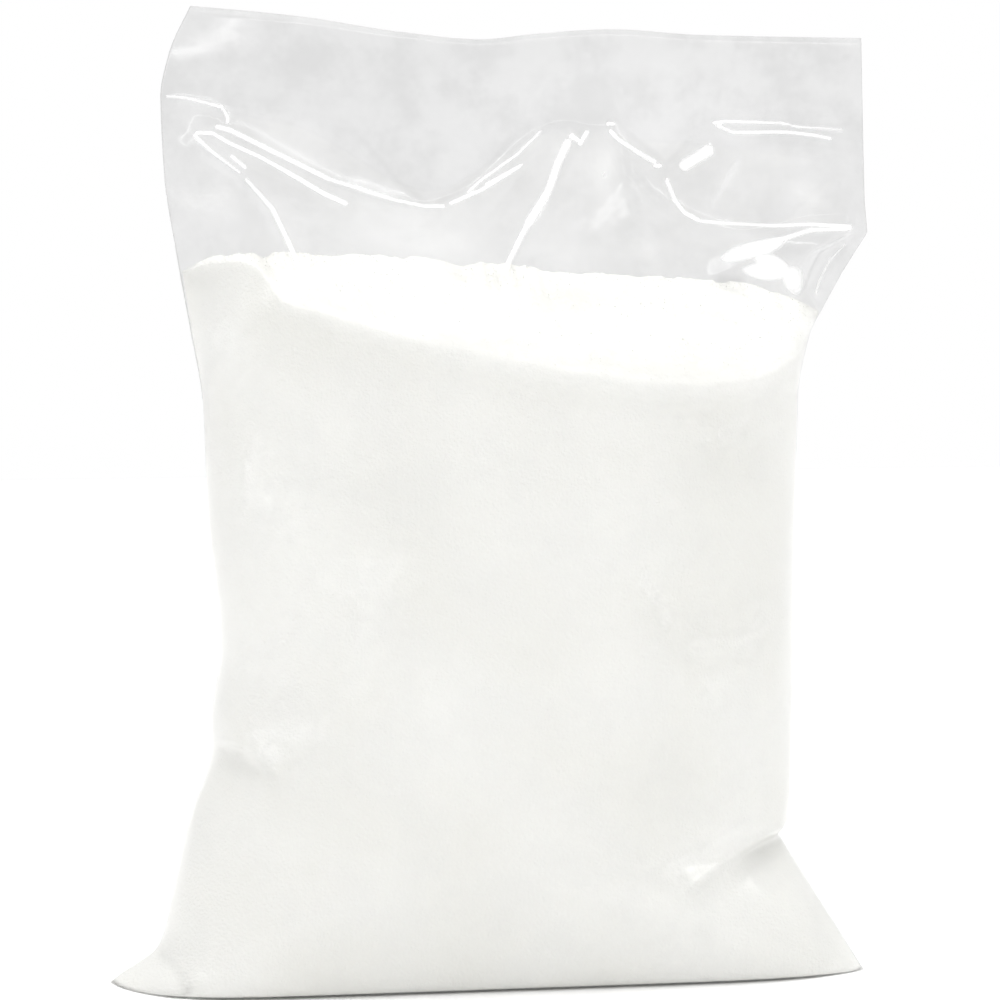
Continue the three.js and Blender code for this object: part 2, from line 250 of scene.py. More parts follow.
SALT_FOLDS = [
    # the pinch on the left: a lip over a hollow
    ([(-60, 50.8), (-55.5, 50.8), (-51, 51.5), (-48.2, 49.7), (-46.4, 47.6), (-44.2, 45)],
     1.6, 8, 1.7, 0.4, 0.12, 1.2),
    ([(-60, 47.5), (-52, 48.3), (-47.5, 44.5)], -1.3, 3, 7, 0.5, 0.15, 2),
    # the pinch on the right, above the ear
    ([(36.5, 20.6), (40.4, 22.6), (50, 27.2), (57, 29.6), (64, 29)], 1.9, 9, 2, 0.4, 0.12, 1.2),
    ([(43, 17), (52, 22.5), (64, 25)], -0.7, 4, 13, 0.5, 0.15, 2),
    # two slack hollows on the right half, and the crease at the root of the left ear
    ([(27.5, 87), (32, 80), (40, 71.4), (49.7, 71.2), (62, 75)], -1.4, 12, 7, 0.5, 0.15, 2),
    ([(38.4, 120.7), (47, 112.3), (57, 115.6)], -0.8, 9, 6, 0.5, 0.15, 2),
    ([(-70, 6.4), (-66.8, 6), (-64.4, 4), (-62.6, 0.5)], -0.9, 3.2, 2, 0.5, 0.15, 2),
]

# Where a sharp crease has whitened the film, painted white as well for the highlight it
# catches, or the film is hazy: path of (side, height) points, half width, whiteness at either
# end of the path, share of the path over which its ends fade
CREASE_WHITE_AND_HIGHLIGHTS = [
    # at the seal's left end, and from there to the apex of the V
    ([(-65.5, 181.3), (-61, 181), (-56.6, 179.9), (-53.8, 179.1), (-52.7, 177.1), (-52.8, 175.4)],
     0.34, 0.8, 0.95, 0.04),
    ([(-55.8, 175.4), (-52.4, 174.6), (-44.4, 170.6), (-32.3, 164.6)], 0.45, 0.95, 0.95, 0.04),
    ([(-35, 166), (-32.3, 164.6), (-25.2, 162.4), (-19, 160.4), (-12.7, 159.1), (-7.8, 159.1)],
     0.37, 0.95, 0.85, 0.04),
    # the two folds from the left corner: to the right under the first one, and down to the salt
    ([(-59.9, 174), (-55.8, 173.9), (-52.5, 171.9), (-46.5, 169.2), (-39.9, 165.5)],
     0.36, 0.85, 0.95, 0.04),
    ([(-42, 166.7), (-39.9, 165.5), (-33.9, 161.9), (-28.4, 159.4)], 0.45, 0.9, 0.95, 0.06),
    ([(-60, 173.9), (-56, 170.1), (-50.1, 165.6)], 0.36, 0.9, 0.75, 0.06),
    ([(-50.3, 165.6), (-46.8, 161.6), (-44.4, 158.8), (-41.3, 151.9), (-39.4, 147)], 0.5, 0.7, 1.0, 0.06),
    ([(-52.8, 169.8), (-49, 166.6)], 0.38, 0.8, 0.8, 0.15),
    # the V's right arm
    ([(-8.5, 159.2), (-1.1, 162.4), (7.1, 167.6)], 0.36, 0.9, 0.78, 0.08),
    ([(-5, 160.8), (-1.5, 164), (6.2, 169.6), (12.6, 175.6)], 0.34, 0.82, 0.66, 0.1),
    ([(-1, 163.1), (7.6, 167.9)], 0.32, 0.75, 0.8, 0.1),
    # from the middle of the seal down to the salt
    ([(17.3, 173.5), (14, 168), (11.5, 162.5), (6, 154.4)], 0.78, 0.8, 0.9, 0.08),
    ([(8.4, 158.2), (2.3, 148.1), (0.6, 145)], 0.55, 0.9, 0.8, 0.12),
    ([(16.8, 173.9), (19.2, 172)], 0.5, 1.0, 0.9, 0.2),
    ([(21.3, 174.9), (18.4, 171)], 0.42, 1.0, 0.9, 0.2),
    # from the middle of the seal over the small V to the fin's tip
    ([(24.6, 175.8), (27, 176)], 0.4, 0.9, 0.9, 0.2),
    ([(25.2, 175), (27.3, 172.6), (33.2, 169.1), (36, 167.7)], 0.46, 0.9, 1.0, 0.06),
    ([(34.4, 167.4), (37.2, 167.2)], 0.5, 0.9, 0.9, 0.25),
    ([(39.6, 166.2), (48.1, 171.5)], 1.15, 0.95, 0.95, 0.2),
    ([(37.5, 165), (39.2, 160.3), (41.1, 157.6), (44.5, 155.8)], 0.42, 0.95, 0.9, 0.05),
    ([(43.5, 156), (50.2, 155.4), (60, 154.9), (67.6, 155.2), (77.4, 154.7)], 0.36, 0.9, 0.85, 0.04),
    # along the seal's right end
    ([(46.5, 176), (50, 176.4), (61.6, 176.1), (65.9, 175.2), (75.8, 174.6)], 0.34, 0.95, 0.75, 0.04),
    ([(47.4, 175.9), (51.6, 174.1), (58.7, 174.2), (63.1, 174.2), (68.6, 173.6), (73.2, 172.7)],
     0.38, 0.9, 0.9, 0.04),
    # under the fin's tip, where the slack film ends on the salt
    ([(77.5, 154.3), (67.4, 154), (61.7, 152.3), (51.6, 150.4)], 0.5, 0.8, 0.95, 0.06),
    ([(67, 152.6), (53, 149.6), (42, 147.4)], 1.5, 0.9, 0.9, 0.42),
    ([(68, 145.4), (46.5, 146.2)], 1.7, 0.9, 0.9, 0.5),
    ([(51, 150.4), (66, 143.8)], 2.0, 0.9, 0.9, 0.5),
    ([(58.5, 148.4), (68, 139)], 2.6, 0.9, 0.9, 0.5),
    # along the fin
    ([(76.6, 151.8), (72.5, 147.5), (70.2, 143), (69.3, 139.5)], 0.55, 0.5, 0.58, 0.1),
]
# Wider areas of hazy film, of salt dust on it, and of painted sheen and soft painted highlights, in the
# same terms
HAZE_AND_SHEEN = [
    # painted sheen on the tent's facets, and a soft painted highlight down from the seal's middle
    ([(24.3, 177), (22.2, 155)], 3, 0.2, 0.27, 0.5),
    ([(-50, 176.5), (-28, 167.5)], 4, 0.14, 0.12, 0.4),
    ([(-38, 156.5), (-8, 152.5), (5, 163)], 6.5, 0.17, 0.08, 0.4),
    ([(-56, 166), (-36, 150)], 6, 0.04, 0.1, 0.3),
    ([(-66, 162.6), (-58.6, 159.8), (-49.5, 162)], 1.6, 0.2, 0.16, 0.3),
    ([(54.5, 171), (45.5, 157)], 0.8, 0.25, 0.2, 0.4),
    ([(54, 169.2), (72, 168)], 1.6, 0.12, 0.14, 0.4),
    ([(61, 164.4), (71.5, 159.4)], 2.6, 0.2, 0.21, 0.4),
    ([(8, 153.5), (32, 147.5)], 4, 0.07, 0.05, 0.4),
    ([(27, 152.5), (35, 148.5)], 1.8, 0.12, 0.12, 0.4),
    # salt dust on the film where the salt leaves it
    ([(-46, 142), (-34, 138), (-16, 133), (0, 129), (20, 125.4), (40, 123), (53, 123.8), (66, 129)],
     2.5, 0.2, 0.2, 0.05),
    # and painted sheen where it lies loosely against the salt
    ([(-57.5, 136.5), (-50.5, 129)], 4.5, 0.13, 0.13, 0.4),
    ([(-64, 142), (-48, 116)], 9, 0.1, 0.12, 0.3),
    ([(-46, 124), (0, 115), (52, 112)], 9, 0.09, 0.08, 0.2),
    ([(-51, 108.5), (-46.5, 107.5)], 4.5, 0.15, 0.15, 0.3),
    ([(-48, 105), (-47, 95.5)], 2.8, 0.18, 0.08, 0.2),
    ([(-44.6, 95.7), (-36, 98.4)], 1.8, 0.1, 0.1, 0.3),
    ([(-41, 86.5), (-28, 87.5), (-15.5, 91)], 3.6, 0.07, 0.15, 0.3),
    ([(-30, 84), (-20, 84.5)], 5.5, 0.11, 0.09, 0.3),
    ([(-26, 80), (-29.6, 66), (-32, 59)], 3.8, 0.14, 0.05, 0.3),
    ([(-29, 115.5), (-29.2, 107)], 3.5, 0.07, 0.08, 0.4),
    # painted highlight on the lip of the left pinch
    ([(-51, 53.2), (-35.6, 55.6)], 2.1, 0.2, 0.14, 0.15),
    ([(-48, 51.8), (-44.9, 48)], 1.9, 0.2, 0.15, 0.2),
    ([(27.2, 88.2), (29.1, 84.2), (32.1, 79.3), (35, 74.2)], 1.2, 0.18, 0.14, 0.15),
    ([(36, 72.5), (42, 69.4), (48.1, 69.2), (53.5, 71.8), (58.2, 75.4)], 1.9, 0.1, 0.16, 0.2),
    ([(40, 64), (49, 60.5)], 5, 0.07, 0.08, 0.3),
    ([(33.6, 118.4), (44, 112.2)], 1.1, 0.08, 0.12, 0.3),
    ([(43, 112.8), (52, 116)], 2.1, 0.15, 0.12, 0.3),
    # painted highlight on the lip of the right pinch
    ([(28, 23.2), (38, 26), (48, 30), (55, 32.4)], 2.6, 0.12, 0.18, 0.25),
    ([(33, 25.6), (40, 28)], 1.5, 0.09, 0.09, 0.3),
]
# Painted shade: lines and areas where the film is painted a shade darker, in the same terms
PAINTED_SHADE_LINES = [
    # painted shade along folds of the tent, by the fin and along two short folds where the salt leaves
    # the film on the right
    ([(-28.4, 176), (-18.2, 164.3), (-11.2, 158.8)], 0.7, 0.2, 0.4, 0.1),
    ([(-11.2, 158.6), (-1.5, 165.3), (7.1, 174.2)], 0.8, 0.5, 0.25, 0.1),
    ([(-52, 173.4), (-32, 163.5), (-14, 158.4)], 0.35, 0.4, 0.2, 0.1),
    ([(75.9, 153.5), (70.9, 150.5), (68.4, 145.7), (66.2, 140.4)], 0.55, 0.6, 0.7, 0.1),
    ([(28.5, 174.8), (37.7, 167.6), (43.8, 174)], 0.6, 0.3, 0.4, 0.15),
    ([(-50.5, 165), (-49, 160.5)], 0.6, 0.4, 0.4, 0.3),
    ([(-48.5, 160), (-45, 152)], 1.2, 0.25, 0.15, 0.3),
    ([(44.2, 144.6), (53, 143.9)], 0.7, 0.8, 0.6, 0.3),
    ([(44.4, 143.7), (53.1, 141)], 0.7, 0.6, 0.8, 0.3),
    # painted shade at the salt's left end, over the two ears and in the crease at the root of the left
    # ear
    ([(-60, 141), (-60.5, 147)], 5, 0.35, 0.35, 0.3),
    ([(-80, 3), (-58, 3)], 5, 0.4, 0.25, 0.15),
    ([(66, 16), (74, 4)], 6, 0.25, 0.3, 0.3),
    ([(-70, 6), (-66.5, 5.8), (-64.3, 4), (-62.8, 0.5)], 1.1, 0.8, 1, 0.15),
    # painted shade under the lips of the two pinches
    ([(-57, 50), (-51, 50.3), (-48.6, 48.3), (-46.6, 46), (-44.6, 43.5)], 0.9, 0.3, 0.5, 0.2),
    ([(-57.5, 47.5), (-50, 46.5)], 2.6, 0.25, 0.25, 0.3),
    ([(38, 20.2), (41, 21.6), (50, 26), (57, 28.4), (63, 28)], 0.9, 0.4, 0.35, 0.15),
    ([(46, 21.5), (60, 25.5)], 3.2, 0.25, 0.15, 0.3),
]


def height_of(row, side):
    """Rows are level as far as the salt holds the bag out, lean with the seal above that, and
    end on the flap's wavy edge."""
    seal = SEAL_HEIGHT + SEAL_TILT * side
    leaning = row + smoothstep(row, SALT_SHOULDER, SEAL_HEIGHT) * (seal - SEAL_HEIGHT)
    in_flap = mix(seal, smooth_through(TOP_EDGE, side), (row - SEAL_HEIGHT) / FLAP_HEIGHT)
    return np.where(row < SEAL_HEIGHT, leaning, in_flap)


def blurred(knots, side, reach):
    """A line through knots, averaged over reach to either side."""
    return sum(smooth_through(knots, side + reach * step) for step in (-1, -0.5, 0, 0.5, 1)) / 5


def tent_depth(row, side, height, left, right, front):
    """Least of three planes, rounded where they meet: the tent's slope under the line where
    the sheets part, and a hip at either end. The line's turns fade out further down."""
    if front:
        pocket = POCKET_SLOPE * soft_ramp(smooth_through(FRONT_PARTING, side) - height, 0.8)
        knee = blurred(FRONT_KNEE, side, 16 * smoothstep(-height, -170, -150))
        steep = smooth_through(FRONT_SLOPE, side) * soft_ramp(knee - height, 1.5)
        slope = soft_min(pocket, POCKET_DEPTH, 2) + steep
    else:
        parting = blurred(BACK_PARTING, side, 12 * smoothstep(-height, -168, -148))
        slope = BACK_SLOPE * soft_ramp(parting - height, 1)
    from_left = (side - left) / smooth_through(LEFT_HIP, row)
    inward = soft_ramp(right - smooth_through(RIGHT_FIN, row) - side, 0.8)
    from_right = inward / smooth_through(RIGHT_HIP, row)
    return np.maximum(soft_min(soft_min(slope, from_left, 2), from_right, 2), 0)


def film_sheet(across, row, front):
    """Points of one sheet, mm. The depth from the plane between the sheets is the salt's
    rounded section, (1 - |across|^p)^q times the bulge at that height, and above the
    shoulder the lesser of that and the tent; folds are added to the front."""
    left_height, right_height = height_of(row, LEFT_SIDE), height_of(row, RIGHT_SIDE)
    left, right = smooth_through(LEFT_EDGE, left_height), through(RIGHT_EDGE, right_height)
    share = (1 + across) / 2
    side = mix(left, right, share)
    height = height_of(row, side)

    left_back, right_back = through(LEFT_EDGE, left_height, 2), through(RIGHT_EDGE, right_height, 2)
    edge_plane = np.where(row < SALT_SHOULDER, mix(left_back, right_back, share),
                          left_back * np.maximum(-across, 0) ** 3)
    wave = -1.5 * np.sin(3.2 * across + 0.5) * (1 - across**4)
    middle = edge_plane + smoothstep(row, 165, TOP_HEIGHT) * wave

    rounding = smoothstep(row, 0, EAR_HEIGHT)
    fullness = mix(8, 2.5, rounding) if front else 2.5
    point = mix(0.85, 0.5, rounding) if front else mix(0.9, 0.5, rounding)
    section = np.maximum(1 - np.abs(across) ** fullness, 0) ** point
    bulge = smooth_through(FRONT_BULGE if front else BACK_BULGE, row)
    full = np.abs(bulge - middle) * section
    tent = tent_depth(row, side, height, left, right, front)
    closing = smoothstep(row, SALT_SHOULDER - 8, SALT_SHOULDER + 4)
    depth = mix(full, soft_min(full, tent, 5), closing)
    if front:
        upper = smoothstep(height, SALT_SHOULDER + 2, SALT_SHOULDER + 17)
        lift = (upper * sum(crest(side, height, *fold) for fold in TENT_FOLDS)
                + (1 - upper) * sum(crest(side, height, *fold) for fold in SALT_FOLDS))
        depth = depth + lift * np.minimum(3 * section, 1)
    depth = np.where(np.abs(across) < 1, np.maximum(depth, SHEET_GAP), 0)
    back = middle - depth if front else middle + depth
    return np.stack([side, back, height], axis=-1)


def columns(count):
    """Values of across, closer together towards the side edges."""
    even = np.linspace(-1, 1, count + 1)
    return 0.5 * (even + np.sin(np.pi / 2 * even))


# ---------------------------------------------------------------------------------------
# Meshes
# ---------------------------------------------------------------------------------------


def in_frame(points):
    """Millimetres in the bag's numbers to metres in the frame."""
    return (points - np.array([BOX_MIDDLE[0], BOX_MIDDLE[1], 0])) * MM


def grid_quads(first, flip=False):
    """Quads between neighbouring entries of a two-way table of vertex numbers."""
    quads = np.stack([first[:-1, :-1], first[:-1, 1:], first[1:, 1:], first[1:, :-1]], axis=-1)
    return quads.reshape(-1, 4)[:, ::-1] if flip else quads.reshape(-1, 4)


def make_piece(name, points, faces, smooth=True):
    """A mesh object at the origin; faces are lists of arrays of quads or triangles."""
    loops = np.concatenate([part.ravel() for part in faces])
    sizes = np.concatenate([np.full(len(part), part.shape[1]) for part in faces])
    mesh = bpy.data.meshes.new(name)
    mesh.vertices.add(len(points))
    mesh.vertices.foreach_set("co", in_frame(points).astype(np.float32).ravel())
    mesh.loops.add(len(loops))
    mesh.loops.foreach_set("vertex_index", loops.astype(np.int32))
    mesh.polygons.add(len(sizes))
    mesh.polygons.foreach_set("loop_start", (np.cumsum(sizes) - sizes).astype(np.int32))
    mesh.polygons.foreach_set("use_smooth", np.full(len(sizes), smooth))
    mesh.update(calc_edges=True)
    mesh.validate()
    piece = bpy.data.objects.new(name, mesh)
    bpy.context.scene.collection.objects.link(piece)
    return piece


def film_mesh():
    """Both sheets on one table of columns and rows each; the back sheet borrows the front's
    first and last column, and a strip closes the foot and the top edge. Rows are closer
    together at the foot, at the pinches and where the tent has its creases."""
    rows = np.concatenate([
        np.arange(0, 12, 0.75), np.arange(12, 20, 1.2), np.arange(20, 32, 0.8), np.arange(32, 42, 1.4),
        np.arange(42, 56, 0.8), np.arange(56, SALT_SHOULDER, 3.6), np.arange(SALT_SHOULDER, 146, 1.0),
        np.arange(146, 181, 0.42), np.linspace(181, TOP_HEIGHT, 9)])
    front_count, step = 360, 3
    across = columns(front_count)
    front = film_sheet(*np.meshgrid(across, rows), True)
    back = film_sheet(*np.meshgrid(across[::step], rows), False)[:, 1:-1]
    points = np.concatenate([front.reshape(-1, 3), back.reshape(-1, 3)])

    front_table = np.arange(front.shape[0] * front.shape[1]).reshape(front.shape[:2])
    inner = front_table.size + np.arange(back.shape[0] * back.shape[1]).reshape(back.shape[:2])
    back_table = np.concatenate([front_table[:, :1], inner, front_table[:, -1:]], axis=1)

    def closing_strip(front_row, back_row, flip):
        a, b = front_row[0:-1:step], front_row[1::step]
        c, d = front_row[2::step], front_row[step::step]
        p, q = back_row[:-1], back_row[1:]
        triangles = np.concatenate([
            np.stack([a, b, p], axis=-1), np.stack([c, d, q], axis=-1)])
        quads = np.stack([b, c, q, p], axis=-1)
        if flip:
            triangles, quads = triangles[:, ::-1], quads[:, ::-1]
        keep = (triangles[:, 0] != triangles[:, 2]) & (triangles[:, 1] != triangles[:, 2]) \
            & (triangles[:, 0] != triangles[:, 1])
        return [triangles[keep], quads]

    faces = [grid_quads(front_table), grid_quads(back_table, flip=True)]
    faces += closing_strip(front_table[0], back_table[0], True)
    faces += closing_strip(front_table[-1], back_table[-1], False)
    piece = make_piece("clear_film", points, faces)
    side, height = front[..., 0], front[..., 2]
    # white crease lines, which also paint the highlights the creases catch
    creases = [streak(side, height, *line, sharp=True) for line in CREASE_WHITE_AND_HIGHLIGHTS]
    paint_front(piece, "crease", np.max(creases, axis=0))
    # painted sheen and hazy film on the front sheet
    paint_front(piece, "haze_and_sheen", sum(streak(side, height, *area) for area in HAZE_AND_SHEEN))
    # painted shade on the front sheet
    shade_lines = [streak(side, height, *line) for line in PAINTED_SHADE_LINES]
    paint_front(piece, "painted_shade", np.max(shade_lines, axis=0))
    return piece


def paint_front(piece, name, values):
    """An attribute with values on the front sheet, whose points come first, and 0 elsewhere."""
    whole = np.zeros(len(piece.data.vertices), np.float32)
    whole[:values.size] = np.clip(values, 0, 1).ravel()
    piece.data.attributes.new(name, "FLOAT", "POINT").data.foreach_set("value", whole)


def salt_ends():
    """For each row of a table, how near to the side edges the film is far enough apart to
    hold salt, on the film's scale."""
    rows = np.linspace(0, 160, 161)
    inward = np.linspace(0, 0.5, 600) ** 2
    ends = []
    for side in (-1, 1):
        across, row = np.meshgrid(side * (1 - inward), rows)
        apart = film_sheet(across, row, False)[..., 1] - film_sheet(across, row, True)[..., 1]
        ends.append(1 - inward[np.argmax(apart > 3 * FILM_TO_SALT, axis=1)])
    return rows, ends[0], ends[1]


SALT_ENDS = salt_ends()


def salt_across(share, row):
    """Columns of salt between those ends, on the film's scale."""
    rows, left, right = SALT_ENDS
    return share * np.where(share < 0, np.interp(row, rows, left), np.interp(row, rows, right))


def salt_row(share, line):
    """The nominal row at which a column's film is as high as the salt's edge there."""
    row = np.full(share.shape, SALT_TOP)
    for _ in range(8):
        left = smooth_through(LEFT_EDGE, height_of(row, LEFT_SIDE))
        right = through(RIGHT_EDGE, height_of(row, RIGHT_SIDE))
        side = mix(left, right, (1 + salt_across(share, row)) / 2)
        row = row + smooth_through(line, side) - height_of(row, side)
    return row, side


def ragged(side, seed):
    """How far clumps of salt stick up past the even edge, mm."""
    return (0.7 * patches(side, 0 * side, 5.5, seed) + 0.45 * patches(side, 0 * side, 2.1, seed + 1)
            + 0.3 * patches(side, 0 * side, 0.9, seed + 2))


def salt_sheet(share, row, front):
    """The film's sheet drawn in towards the plane between the sheets by the gap to the salt."""
    across = salt_across(share, row)
    near, far = film_sheet(across, row, front), film_sheet(across, row, not front)
    middle, depth = (near + far)[..., 1] / 2, np.abs(near - far)[..., 1] / 2
    reach = np.maximum(depth - FILM_TO_SALT, 0) * np.minimum(1, 60 * (1 - np.abs(share))) ** 0.5
    near[..., 1] = middle - reach if front else middle + reach
    near[..., 2] = np.maximum(near[..., 2], FILM_TO_SALT)
    return near


def salt_mesh():
    """A closed ring for each column: up inside the front sheet, over the sloping top, down
    inside the back sheet and back along the foot. The top is a plane between the two edges
    that rounds down to the front film, with hills of a few sizes."""
    share = columns(300)
    front_row, front_side = salt_row(share, SALT_FRONT)
    back_row, back_side = salt_row(share, SALT_BACK)
    taper = np.minimum(1, 14 * (1 - np.abs(share)))
    front_row = front_row + taper * (0.4 * ragged(front_side, 11) - 1)
    back_row = back_row + taper * ragged(back_side, 21)
    climb = np.concatenate([
        np.arange(0, 56, 0.8), np.arange(56, SALT_SHOULDER, 2.6),
        np.linspace(SALT_SHOULDER, SALT_TOP, 24)])[:, None] / SALT_TOP
    front = salt_sheet(*np.broadcast_arrays(share[None, :], climb * front_row[None, :]), True)
    back = salt_sheet(*np.broadcast_arrays(share[None, :], climb[::-1] * back_row[None, :]), False)

    over = np.linspace(0, 1, 92)[1:-1, None, None]
    top = mix(front[-1][None], back[0][None], over)
    width = np.abs(back[0][:, 1] - front[-1][:, 1])[None]
    gone = over[..., 0] * width
    rise = 3.5 * (1 - np.exp(-gone / 3.5)) * (1 - over[..., 0]) * taper
    across, deep = top[..., 0], top[..., 1]
    hills = (0.9 * patches(across, deep, 14, 31) + 0.5 * patches(across, deep, 5, 32)
             + 0.28 * patches(across, deep, 2.0, 33) + 0.2 * patches(across, deep, 0.9, 34))
    calm = np.minimum(1, np.minimum(gone, width - gone) / 2.5)
    top[..., 2] += rise + hills * calm
    ring = np.concatenate([front, top, back])
    table = np.arange(ring.shape[0] * ring.shape[1]).reshape(ring.shape[:2])
    table = np.concatenate([table, table[:1]])
    piece = make_piece("salt", ring.reshape(-1, 3), [grid_quads(table)])
    weld(piece, 1e-6)
    return piece, top


def weld(piece, distance):
    """Merges the ring's pinched ends, and drops the faces that this leaves without area."""
    work = bmesh.new()
    work.from_mesh(piece.data)
    bmesh.ops.remove_doubles(work, verts=work.verts, dist=distance)
    bmesh.ops.dissolve_degenerate(work, edges=work.edges, dist=distance)
    work.to_mesh(piece.data)
    work.free()


def grain_mesh(top):
    """Loose grains on the salt: cubes of 0.08 to 0.18 mm, each turned its own way, most of them
    near the ragged back edge."""
    draw = np.random.default_rng(7)
    count = 3000
    ring, column = top.shape[0], top.shape[1]
    pick_row = (ring - 1) * (1 - draw.random(count) ** 1.6)
    pick_column = draw.uniform(4, column - 5, count)
    spot = top[np.rint(pick_row).astype(int), np.rint(pick_column).astype(int)]
    spot = spot + draw.normal(0, 0.18, (count, 3))
    half = draw.uniform(0.04, 0.09, (count, 1, 1)) * draw.uniform(0.75, 1.25, (count, 1, 3))
    corners = np.array([[x, y, z] for x in (-1, 1) for y in (-1, 1) for z in (-1, 1)], float)
    turn, _ = np.linalg.qr(draw.normal(size=(count, 3, 3)))
    turn[np.linalg.det(turn) < 0, :, 0] *= -1
    cubes = np.einsum("nij,nkj->nki", turn, corners[None] * half) + spot[:, None]
    sides = np.array([
        [0, 1, 3, 2], [4, 6, 7, 5], [0, 4, 5, 1], [2, 3, 7, 6], [0, 2, 6, 4], [1, 5, 7, 3]])
    faces = (8 * np.arange(count)[:, None, None] + sides[None]).reshape(-1, 4)
    return make_piece("loose_grains", cubes.reshape(-1, 3), [faces])


# ---------------------------------------------------------------------------------------
# Materials
# ---------------------------------------------------------------------------------------


class Wire:
    """A node socket that adds, subtracts and multiplies like a number."""

    def __init__(self, tree, socket):
        self.tree, self.socket = tree, socket

    def _math(self, operation, *values):
        return node(self.tree, "ShaderNodeMath", {"operation": operation}, dict(enumerate(values)))

    def __add__(self, other):
        return self._math("ADD", self, other)

    def __rsub__(self, other):
        return self._math("SUBTRACT", other, self)

    def __mul__(self, other):
        return self._math("MULTIPLY", self, other)

    def __pow__(self, other):
        return self._math("POWER", self, other)


def node(tree, kind, settings=None, sockets=None, output=0):
    """Adds a node: its settings first, then values or links for its sockets."""
    new = tree.nodes.new(kind)
    for key, value in (settings or {}).items():
        setattr(new, key, value)
    for key, value in (sockets or {}).items():
        if isinstance(value, Wire):
            tree.links.new(value.socket, new.inputs[key])
        else:
            new.inputs[key].default_value = value
    return Wire(tree, new.outputs[output]) if new.outputs else None


def new_material(name):
    material = bpy.data.materials.new(name)
    material.use_nodes = True
    tree = material.node_tree
    tree.nodes.clear()
    place = node(tree, "ShaderNodeTexCoord", output="Object")
    return material, tree, place


def noise(tree, place, per_millimetre, detail=2.0, roughness=0.5):
    return node(tree, "ShaderNodeTexNoise", {"noise_dimensions": "3D"},
                {"Vector": place, "Scale": per_millimetre / MM, "Detail": detail,
                 "Roughness": roughness})


def smooth_between(tree, value, low, high):
    """0 below low, 1 above high, and a smooth step between them."""
    return node(tree, "ShaderNodeMapRange", {"interpolation_type": "SMOOTHSTEP"},
                {"Value": value, "From Min": low, "From Max": high})


def finish_material(tree, shader):
    node(tree, "ShaderNodeOutputMaterial", sockets={"Surface": shader})


def film_material():
    """Clear film: it passes most light, mirrors a little, more so aslant, and is wrinkled very
    finely. It is white along sharp creases, which also paints the highlights they catch, milky
    with painted sheen where hazy, and greyer with painted shade along given lines. Light that
    only passes through it on its way skips all that."""
    material, tree, place = new_material("clear_film")
    wrinkles = noise(tree, place, 0.12, 3.0, 0.5)
    bump = node(tree, "ShaderNodeBump", sockets={
        "Height": wrinkles, "Strength": 0.2, "Distance": 0.8 * MM})
    smudges = smooth_between(tree, noise(tree, place, 0.07, 4.0, 0.6), 0.38, 0.66)
    # painted shade: the film passes less light along the painted lines and areas, as well as at random
    # smudges
    painted_shade = node(tree, "ShaderNodeAttribute", {"attribute_name": "painted_shade"}, output="Fac")
    bright = node(tree, "ShaderNodeBsdfTransparent", sockets={"Color": (0.905, 0.905, 0.905, 1)})
    smudged_and_shaded = node(tree, "ShaderNodeBsdfTransparent", sockets={"Color": (0.74, 0.74, 0.74, 1)})
    clear = node(tree, "ShaderNodeMixShader", sockets={
        0: smudges * 0.26 + painted_shade * 0.74, 1: bright, 2: smudged_and_shaded})
    gloss = node(tree, "ShaderNodeBsdfPrincipled", sockets={
        "Base Color": (1, 1, 1, 1), "Metallic": 1.0, "Roughness": 0.2, "Normal": bump})
    slant = node(tree, "ShaderNodeLayerWeight", sockets={"Blend": 0.5}, output="Facing")
    glossy = node(tree, "ShaderNodeMixShader", sockets={
        0: slant ** 4 * 0.6 + 0.075, 1: clear, 2: gloss})
    # white along creases and hazy patches, which paints highlights and sheen as well
    white = node(tree, "ShaderNodeBsdfPrincipled", sockets={
        "Base Color": (0.97, 0.97, 0.965, 1), "Roughness": 0.5, "Specular IOR Level": 0.3})
    crease = node(tree, "ShaderNodeAttribute", {"attribute_name": "crease"}, output="Fac")
    haze_and_sheen = node(tree, "ShaderNodeAttribute", {"attribute_name": "haze_and_sheen"}, output="Fac")
    whiteness = node(tree, "ShaderNodeMath", {"operation": "MAXIMUM"}, {
        0: smooth_between(tree, crease, 0.3, 0.75), 1: haze_and_sheen})
    lit = node(tree, "ShaderNodeMixShader", sockets={0: whiteness, 1: glossy, 2: white})
    passing = node(tree, "ShaderNodeBsdfTransparent", sockets={"Color": (0.95, 0.95, 0.948, 1)})
    bounced = node(tree, "ShaderNodeLightPath", output="Is Diffuse Ray")
    shadow = node(tree, "ShaderNodeLightPath", output="Is Shadow Ray")
    once = node(tree, "ShaderNodeMixShader", sockets={0: bounced, 1: lit, 2: passing})
    shader = node(tree, "ShaderNodeMixShader", sockets={0: shadow, 1: once, 2: passing})
    finish_material(tree, shader)
    return material


def salt_material(name, grain_bump, glow):
    """Fine white salt: almost pure white, a little warm, with a grain of about half a
    millimetre and faint paler clouds. Light comes through single grains, which is the glow."""
    material, tree, place = new_material(name)
    grain = noise(tree, place, 1.6, 2.0, 0.6)
    clouds = smooth_between(tree, noise(tree, place, 0.035, 4.0, 0.55), 0.3, 0.7)
    tone = node(tree, "ShaderNodeMix", {"data_type": "RGBA"}, {
        0: clouds * 0.8 + grain * 0.2,
        6: (0.872, 0.867, 0.826, 1), 7: (0.956, 0.954, 0.925, 1)}, output=2)
    bump = node(tree, "ShaderNodeBump", sockets={
        "Height": grain, "Strength": grain_bump, "Distance": 0.5 * MM})
    shader = node(tree, "ShaderNodeBsdfPrincipled", sockets={
        "Base Color": tone, "Roughness": 0.75, "Specular IOR Level": 0.3, "Normal": bump,
        "Subsurface Weight": glow, "Subsurface Radius": (1, 1, 1), "Subsurface Scale": 0.3 * MM})
    finish_material(tree, shader)
    return material


